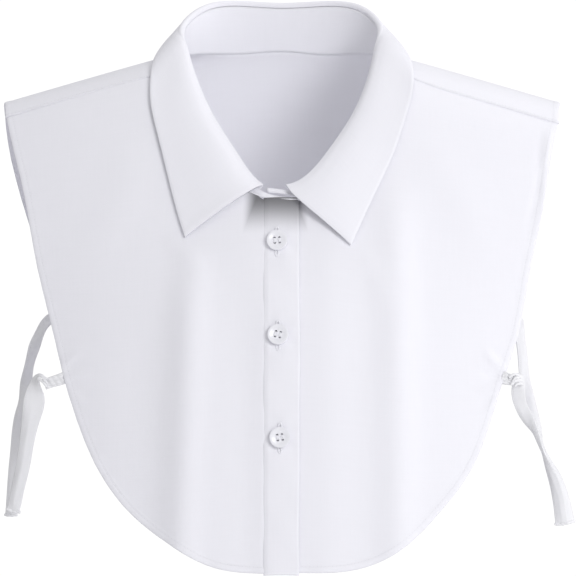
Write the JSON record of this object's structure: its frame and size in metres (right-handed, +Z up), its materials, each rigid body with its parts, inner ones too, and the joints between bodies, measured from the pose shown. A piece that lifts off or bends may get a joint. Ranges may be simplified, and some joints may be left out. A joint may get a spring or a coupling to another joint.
{
  "type": "detachable shirt collar",
  "caption": "Detachable shirt collar on a short sleeveless bib with a buttoned front placket and side ties, worn under a jumper to look like a shirt.",
  "frame": {"origin": "middle of the neck opening, level with the tops of the shoulders, where the collar sits on its wearer", "axes": "+Z up towards the head, +X towards the wearer's left, the buttoned front faces -Y"},
  "size_m": [0.3584, 0.1868, 0.3582],
  "materials": {
    "white_poplin": "matte",
    "white_tape": "satin",
    "white_button": "gloss"
  },
  "bodies": {
    "root": {"front_right": "white_poplin", "front_left": "white_poplin", "back": "white_poplin", "placket": "white_poplin", "collar_stand": "white_poplin", "collar_leaf": "white_poplin", "tie_front_right": "white_tape", "tie_back_right": "white_tape", "tie_front_left": "white_tape", "tie_back_left": "white_tape", "tab_front_right": "white_tape", "tab_front_left": "white_tape", "button_1": "white_button", "button_2": "white_button", "button_3": "white_button"}
  },
  "joints": []
}
